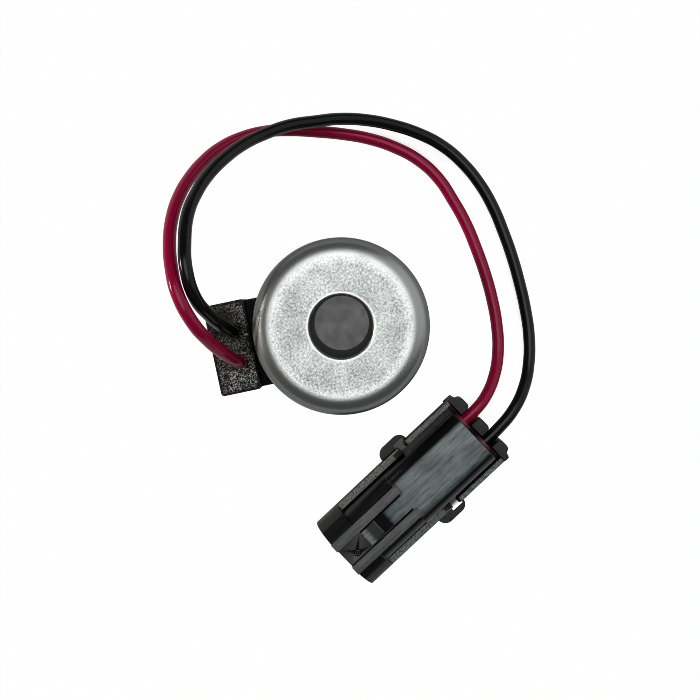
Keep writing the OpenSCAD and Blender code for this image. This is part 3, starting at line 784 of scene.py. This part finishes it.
# Painted shadow of the black lead: the pale tips are held back under it
from_lead_shadow = add_node(tree, "ShaderNodeVectorMath", {
    0: block_place.outputs["Vector"],
    1: BLACK_LEAD_SHADOW_MIDDLE,
}, operation="DISTANCE")
outside_lead_shadow = add_node(tree, "ShaderNodeMapRange", {
    "Value": from_lead_shadow.outputs["Value"],
    "From Min": LEAD_SHADOW_R[0] * MM,
    "From Max": LEAD_SHADOW_R[1] * MM,
    "To Min": LEAD_SHADOW_TIPS,
    "To Max": inside_rim.outputs["Result"],
})
upper_face = add_node(tree, "ShaderNodeMapRange", {
    "Value": level.outputs["Z"],
    "From Min": GRIT_FROM * MM,
    "From Max": GRIT_TO * MM,
    "To Max": outside_lead_shadow.outputs["Result"],
})
rubbing = add_node(tree, "ShaderNodeTexNoise", {
    "Vector": place,
    "Scale": per_metre(RUBBED_MM),
    "Detail": 2.0,
})
rubbed_and_sheen = add_node(tree, "ShaderNodeMapRange", {
    "Value": rubbing.outputs["Fac"],
    "From Min": RUBBED_RANGE[0],
    "From Max": RUBBED_RANGE[1],
    "To Min": RUBBED_SHARE[0],
    "To Max": RUBBED_SHARE[1],
})
rubbed_face = add_node(tree, "ShaderNodeMath", {
    0: rubbed_and_sheen.outputs["Result"],
    1: upper_face.outputs["Result"],
}, operation="MULTIPLY")
bare_tips = add_node(tree, "ShaderNodeMath", {
    0: tips.outputs["Result"],
    1: rubbed_face.outputs[0],
}, operation="MULTIPLY")
cast_colour = add_node(tree, "ShaderNodeMix", {
    MIX_FACTOR: bare_tips.outputs[0],
    MIX_A: linear("040505"),
    MIX_B: linear("f0f2f1"),
}, data_type="RGBA")
relief = add_node(tree, "ShaderNodeBump", {
    "Height": grit.outputs["Fac"],
    "Strength": 1.0,
    "Distance": GRIT_DEPTH * MM,
})
cast = add_node(tree, "ShaderNodeBsdfPrincipled", {
    "Base Color": cast_colour.outputs[MIX_RESULT],
    "Roughness": 0.28,
    "IOR": 1.45,
    "Normal": relief.outputs["Normal"],
})
add_node(tree, "ShaderNodeOutputMaterial", {"Surface": cast.outputs[0]})

lead_block = rounded_copy("encapsulation", BLOCK_ROUNDING, "coil")
lead_block.data.materials.append(cast_nylon)

# %% [markdown]
# ## Connector
#
# The housing, the lock and its straps are moulded in black nylon. The housing's tool is
# polished, so its middle is smooth, with faint flow marks and long scuffs, and mirrors the
# ceiling as a grey sheen. Towards the side bars the polish ends and the surface turns matt.
# The lock and the straps are matt and grained all over. A painted sheen makes the barrel's flat
# top a pale blue grey and the rails a darker grey, and a pale painted sheen lies on the tops of
# the side bars and of the lock's arms. The straps are thin enough to bend, so they follow the
# housing at one end and the lock at the other.

# %% Moulded nylon for the connector
CONNECTOR_Y = -38.8
# Distance from the middle line where the matt surface starts and where it is full
MATT_SIDES = (7.4, 7.6)
MATT_ALL_OVER = (-0.2, 0.0)
# Heights between which the upper faces carry a pale painted sheen, and how softly that starts
BAR_TOPS = (8.88, 9.05)
ARM_TOPS = (9.65, 9.9)
SHEEN_EDGE = 0.06
# Heights between which the painted sheen on the flat top starts, and between which it turns into
# the rails' darker painted sheen
TOP_SHEEN_FROM = 15.2
TOP_SHEEN_TO = 15.55
RAIL_FROM = 15.65
RAIL_TO = 15.8
# Scuffs are drawn out along the connector
SCUFF_MM = 0.7
SCUFF_STRETCH = 0.12
FLOW_MM = 5.0
FLOW_SHARE = 0.3
FLOW_DEPTH = 0.2
NYLON_GRAIN_MM = 0.5
NYLON_GRAIN_DEPTH = 0.06
# Roughness of the polished and of the matt surface, and what a scuff adds
NYLON_GLOSS = (0.16, 0.40)
SCUFF_ROUGHNESS = 0.16
# Least and most share of the pale painted sheen on the upper faces, speckled by the grain
SPECKLE = (0.08, 0.72)


def moulded_nylon(name, matt_from, matt_to, sheen_from, sheen_to):
    """Black nylon, matt off the middle line, with painted sheen on the top and between two heights.
    """
    material, tree, place = start_material(name)
    drawn_out = add_node(tree, "ShaderNodeVectorMath", {
        0: place,
        1: (SCUFF_STRETCH, 1, 1),
    }, operation="MULTIPLY")
    scuffs = add_node(tree, "ShaderNodeTexNoise", {
        "Vector": drawn_out.outputs["Vector"],
        "Scale": per_metre(SCUFF_MM),
        "Detail": 6.0,
        "Roughness": 0.7,
    })
    flow = add_node(tree, "ShaderNodeTexNoise", {
        "Vector": place,
        "Scale": per_metre(FLOW_MM),
        "Detail": 2.0,
    })
    clouded = add_node(tree, "ShaderNodeMath", {
        0: flow.outputs["Fac"],
        1: FLOW_SHARE,
        2: scuffs.outputs["Fac"],
    }, operation="MULTIPLY_ADD")
    wear_and_sheen = add_node(tree, "ShaderNodeMapRange", {
        "Value": clouded.outputs[0],
        "From Min": 0.40,
        "From Max": 0.95,
    })
    across = add_node(tree, "ShaderNodeSeparateXYZ", {0: place})
    top_sheen = add_node(tree, "ShaderNodeMapRange", {
        "Value": across.outputs["Z"],
        "From Min": TOP_SHEEN_FROM * MM,
        "From Max": TOP_SHEEN_TO * MM,
    })
    on_rails = add_node(tree, "ShaderNodeMapRange", {
        "Value": across.outputs["Z"],
        "From Min": RAIL_FROM * MM,
        "From Max": RAIL_TO * MM,
    })
    # Painted sheen: the flat top a pale blue grey, the rails a darker grey, streaked by scuffs and
    # flow
    wear_and_sheen_colour = add_node(tree, "ShaderNodeMix", {
        MIX_FACTOR: on_rails.outputs["Result"],
        MIX_A: linear("8c9da2"),
        MIX_B: linear("686a6a"),
    }, data_type="RGBA")
    rubbed_and_sheen = add_node(tree, "ShaderNodeMath", {
        0: wear_and_sheen.outputs["Result"],
        1: top_sheen.outputs["Result"],
    }, operation="MULTIPLY")
    nylon_colour = add_node(tree, "ShaderNodeMix", {
        MIX_FACTOR: rubbed_and_sheen.outputs[0],
        MIX_A: linear("050607"),
        MIX_B: wear_and_sheen_colour.outputs[MIX_RESULT],
    }, data_type="RGBA")
    off_axis = add_node(tree, "ShaderNodeMath", {
        0: across.outputs["Y"],
        1: CONNECTOR_Y * MM,
    }, operation="SUBTRACT")
    sideways = add_node(tree, "ShaderNodeMath", {0: off_axis.outputs[0]}, operation="ABSOLUTE")
    matt = add_node(tree, "ShaderNodeMapRange", {
        "Value": sideways.outputs[0],
        "From Min": matt_from * MM,
        "From Max": matt_to * MM,
    })
    base_polish = add_node(tree, "ShaderNodeMapRange", {
        "Value": matt.outputs["Result"],
        "To Min": NYLON_GLOSS[0],
        "To Max": NYLON_GLOSS[1],
    })
    polish = add_node(tree, "ShaderNodeMath", {
        0: scuffs.outputs["Fac"],
        1: SCUFF_ROUGHNESS,
        2: base_polish.outputs["Result"],
    }, operation="MULTIPLY_ADD")
    grain = add_node(tree, "ShaderNodeTexNoise", {
        "Vector": place,
        "Scale": per_metre(NYLON_GRAIN_MM),
        "Detail": 4.0,
        "Roughness": 0.65,
    })
    speckle = add_node(tree, "ShaderNodeMapRange", {
        "Value": grain.outputs["Fac"],
        "From Min": 0.35,
        "From Max": 0.65,
        "To Min": SPECKLE[0],
        "To Max": SPECKLE[1],
    })
    above = add_node(tree, "ShaderNodeMapRange", {
        "Value": across.outputs["Z"],
        "From Min": sheen_from * MM,
        "From Max": (sheen_from + SHEEN_EDGE) * MM,
        "To Max": speckle.outputs["Result"],
    })
    below = add_node(tree, "ShaderNodeMapRange", {
        "Value": across.outputs["Z"],
        "From Min": sheen_to * MM,
        "From Max": (sheen_to + SHEEN_EDGE) * MM,
        "To Min": matt.outputs["Result"],
        "To Max": 0.0,
    })
    pale = add_node(tree, "ShaderNodeMath", {
        0: above.outputs["Result"],
        1: below.outputs["Result"],
    }, operation="MULTIPLY")
    # Painted sheen: the upper faces between the two heights turn pale grey
    sheen_colour = add_node(tree, "ShaderNodeMix", {
        MIX_FACTOR: pale.outputs[0],
        MIX_A: nylon_colour.outputs[MIX_RESULT],
        MIX_B: linear("a5a8a7"),
    }, data_type="RGBA")
    waves = add_node(tree, "ShaderNodeBump", {
        "Height": flow.outputs["Fac"],
        "Strength": 0.15,
        "Distance": FLOW_DEPTH * MM,
    })
    relief = add_node(tree, "ShaderNodeBump", {
        "Height": grain.outputs["Fac"],
        "Strength": matt.outputs["Result"],
        "Distance": NYLON_GRAIN_DEPTH * MM,
        "Normal": waves.outputs["Normal"],
    })
    nylon = add_node(tree, "ShaderNodeBsdfPrincipled", {
        "Base Color": sheen_colour.outputs[MIX_RESULT],
        "Roughness": polish.outputs[0],
        "IOR": 1.5,
        "Normal": relief.outputs["Normal"],
    })
    add_node(tree, "ShaderNodeOutputMaterial", {"Surface": nylon.outputs[0]})
    return material


housing_nylon = moulded_nylon("polished_moulded_nylon", *MATT_SIDES, *BAR_TOPS)
lock_nylon = moulded_nylon("matt_moulded_nylon", *MATT_ALL_OVER, *ARM_TOPS)
print("nylon", housing_nylon.name, lock_nylon.name)

# %% Dress the housing, the lock and the straps
HOUSING_ROUNDING = 0.14
LOCK_ROUNDING = 0.2
STRAP_ROUNDING = 0.12
STRAP_NODES = ("left_hinge_strap", "right_hinge_strap")

housing = rounded_copy("connector_housing", HOUSING_ROUNDING, "coil")
lock = rounded_copy("secondary_lock", LOCK_ROUNDING, "secondary_lock")
straps = [rounded_copy(name, STRAP_ROUNDING, None) for name in STRAP_NODES]
housing.data.materials.append(housing_nylon)
for piece in (lock, *straps):
    piece.data.materials.append(lock_nylon)
for strap in straps:
    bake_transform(strap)

# %% [markdown]
# ## Seals
#
# A soft ribbed seal sits on each lead and closes its bore in the housing. Only the last rib
# shows, between the barrel and the lock. Each seal is turned from a half section: a straight
# bore and three ribs with round crests, spun once round the lead's axis.

# %% Turn the two seals
SEAL_FRONT = -0.3
SEAL_LENGTH = 5.5
SEAL_BORE_R = 1.405
SEAL_GROOVE_R = 2.35
SEAL_CREST_R = 2.7
FIRST_CREST = 0.55
RIB_PITCH = 2.2
SECTION_STEPS = 40
SPIN_STEPS = 48
CAVITY_Z = 7.6
BLACK_CAVITY_Y = -42.2
RED_CAVITY_Y = -35.4


def turned_seal(name, axis_y):
    """Ribbed seal, spun round the lead's axis at axis_y."""
    section = [(SEAL_FRONT + SEAL_LENGTH, SEAL_BORE_R), (SEAL_FRONT, SEAL_BORE_R)]
    for step in range(SECTION_STEPS + 1):
        along = SEAL_LENGTH * step / SECTION_STEPS
        crest = abs(math.cos(math.pi * (along - FIRST_CREST) / RIB_PITCH))
        section.append((SEAL_FRONT + along, SEAL_GROOVE_R + (SEAL_CREST_R - SEAL_GROOVE_R) * crest))
    shape = bmesh.new()
    corners = [shape.verts.new(Vector((x, axis_y, CAVITY_Z + r)) * MM) for x, r in section]
    rim = [shape.edges.new(pair) for pair in zip(corners, corners[1:] + corners[:1])]
    bmesh.ops.spin(
        shape,
        geom=corners + rim,
        cent=Vector((0, axis_y, CAVITY_Z)) * MM,
        axis=(1, 0, 0),
        angle=2 * math.pi,
        steps=SPIN_STEPS,
        use_merge=True,
    )
    bmesh.ops.remove_doubles(shape, verts=shape.verts, dist=WELD)
    bmesh.ops.recalc_face_normals(shape, faces=shape.faces)
    piece = add_piece(name + "_skin", shape)
    piece.data.shade_smooth()
    piece.data.set_sharp_from_angle(angle=CREASE_ANGLE)
    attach(piece, "coil")
    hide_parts(name)
    print(piece.name, len(piece.data.polygons), "faces")
    return piece


black_seal = turned_seal("black_seal", BLACK_CAVITY_Y)
red_seal = turned_seal("red_seal", RED_CAVITY_Y)

# %% [markdown]
# ## Small and hidden pieces
#
# The rest is seen in the bore, at the connector's mouth, or only when the coil is taken apart.
# Two recipes cover it. The first is a plain surface whose colour and gloss wander a little, as
# rubber, tape, nylon and tin plate do. The second is copper wire, where fine bands run across
# the piece: turns laid side by side on the winding, twisted strands at a lead's bare end.

# %% Two recipes for the small pieces
GLOSS_SPREAD = 0.15
# Blender's Wave texture repeats once every this many units at scale 1
WAVE_PERIOD = 2 * math.pi / 20


def wandering_finish(name, colour, other_colour, mark_mm, gloss, metal):
    """Plain surface whose colour and gloss vary in marks about mark_mm wide."""
    material, tree, place = start_material(name)
    marks = add_node(tree, "ShaderNodeTexNoise", {
        "Vector": place,
        "Scale": per_metre(mark_mm),
        "Detail": 4.0,
        "Roughness": 0.6,
    })
    tint = add_node(tree, "ShaderNodeMix", {
        MIX_FACTOR: marks.outputs["Fac"],
        MIX_A: linear(colour),
        MIX_B: linear(other_colour),
    }, data_type="RGBA")
    rough = add_node(tree, "ShaderNodeMapRange", {
        "Value": marks.outputs["Fac"],
        "To Min": gloss,
        "To Max": gloss + GLOSS_SPREAD,
    })
    surface = add_node(tree, "ShaderNodeBsdfPrincipled", {
        "Base Color": tint.outputs[MIX_RESULT],
        "Roughness": rough.outputs["Result"],
        "Metallic": metal,
    })
    add_node(tree, "ShaderNodeOutputMaterial", {"Surface": surface.outputs[0]})
    return material


def banded_copper(name, colour, groove_colour, pitch_mm, direction, gloss):
    """Copper with fine bands across one direction, a groove between each wire and the next."""
    material, tree, place = start_material(name)
    bands = add_node(tree, "ShaderNodeTexWave", {
        "Vector": place,
        "Scale": WAVE_PERIOD / (pitch_mm * MM),
        "Distortion": 0.4,
    }, wave_type="BANDS", bands_direction=direction)
    tint = add_node(tree, "ShaderNodeMix", {
        MIX_FACTOR: bands.outputs["Fac"],
        MIX_A: linear(groove_colour),
        MIX_B: linear(colour),
    }, data_type="RGBA")
    relief = add_node(tree, "ShaderNodeBump", {
        "Height": bands.outputs["Fac"],
        "Strength": 0.6,
        "Distance": pitch_mm / 2 * MM,
    })
    surface = add_node(tree, "ShaderNodeBsdfPrincipled", {
        "Base Color": tint.outputs[MIX_RESULT],
        "Roughness": gloss,
        "Metallic": 1.0,
        "Normal": relief.outputs["Normal"],
    })
    add_node(tree, "ShaderNodeOutputMaterial", {"Surface": surface.outputs[0]})
    return material


# %% Finish the small pieces
# Silicone: deep wine red, dull
seal_rubber = wandering_finish(
    "silicone_rubber", "5c222b", "74343e", mark_mm=1.0, gloss=0.34, metal=0.0
)
for piece in (black_seal, red_seal):
    piece.data.materials.append(seal_rubber)

# Bobbin nylon: dark grey and satin, it lines the bore
bobbin_nylon = wandering_finish(
    "glass_filled_bobbin_nylon", "1c1e1f", "303334", mark_mm=0.9, gloss=0.40, metal=0.0
)
finish_node("bobbin", bobbin_nylon)

# Polyester film: thin amber tape, glossy
polyester_tape = wandering_finish(
    "polyester_film_tape", "b98a2c", "c99c3f", mark_mm=6.0, gloss=0.18, metal=0.0
)
finish_node("winding_tape", polyester_tape)

# Tin plate: pale and soft, on the splices and the pins
tin_plate = wandering_finish(
    "tin_plated_brass", "b9b6aa", "cfcdc4", mark_mm=0.7, gloss=0.28, metal=1.0
)
for name in ("black_splice", "red_splice", "black_terminal", "red_terminal"):
    finish_node(name, tin_plate)

# Enamelled copper: glossy red-brown turns, one wire thick
winding_copper = banded_copper(
    "enamelled_copper_turns", "a8552a", "4a1f0c", pitch_mm=0.6, direction="Z", gloss=0.25
)
finish_node("winding", winding_copper)
enamelled_wire = wandering_finish(
    "enamelled_copper_wire", "a8552a", "98481f", mark_mm=0.8, gloss=0.22, metal=1.0
)
for name in ("start_wire", "finish_wire"):
    finish_node(name, enamelled_wire)

# Bare strands: bright copper, twisted
strand_copper = banded_copper(
    "bare_copper_strands", "c9754a", "6b3218", pitch_mm=0.25, direction="DIAGONAL", gloss=0.3
)
for name in ("black_strand", "red_strand"):
    finish_node(name, strand_copper)
print("materials", sorted(material.name for material in bpy.data.materials if material.use_nodes))

# %% [markdown]
# ## Attaching the leads
#
# Both leads are free between the block and the connector, and the connector hangs on them: the
# housing with its lock belongs to the black lead, and each lead carries its own contact pin and
# seal. Here each lead is attached to the coil, and its imported solid is hidden.

black_load = [housing, lock, *straps, black_seal, nodes["black_terminal"], nodes["black_strand"]]
red_load = [red_seal, nodes["red_terminal"], nodes["red_strand"]]
for lead, length, route, node, slot, load in (
    (black_lead, black_length, BLACK_ROUTE, "black_lead", "black_insulation", black_load),
    (red_lead, red_length, RED_ROUTE, "red_lead", "red_insulation", red_load),
):
    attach(lead, "coil")
    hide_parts(node)
print("cords declared", round(black_length, 4), round(red_length, 4), "m")
